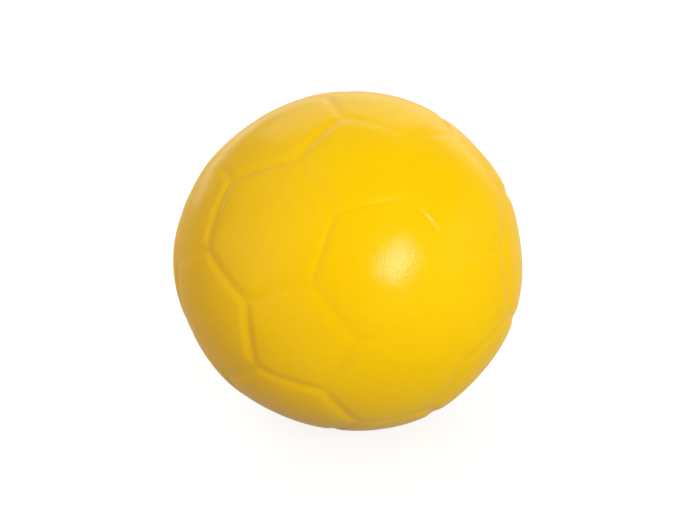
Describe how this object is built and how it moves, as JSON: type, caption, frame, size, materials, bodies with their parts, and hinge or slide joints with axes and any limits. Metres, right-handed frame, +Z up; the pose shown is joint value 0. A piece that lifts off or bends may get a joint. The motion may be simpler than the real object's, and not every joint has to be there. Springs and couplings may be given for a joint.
{
  "type": "foam soccer ball",
  "caption": "Soft moulded foam ball with the classic soccer panel pattern pressed into a tough satin skin over a light cellular core.",
  "frame": {"origin": "the ball's centre", "axes": "+Z up through the middle of a seam between two hexagons, with that seam along Y; X, Y and Z each pass through the middle of such a seam, and -Z points at the ground"},
  "size_m": [0.1892, 0.1892, 0.1892],
  "materials": {
    "skin": "satin self-skinned polyurethane foam, faintly mottled and finely pitted",
    "foam": "matt open-cell polyurethane foam"
  },
  "bodies": {
    "root": {"skin": "skin", "foam_core": "foam"}
  },
  "joints": []
}
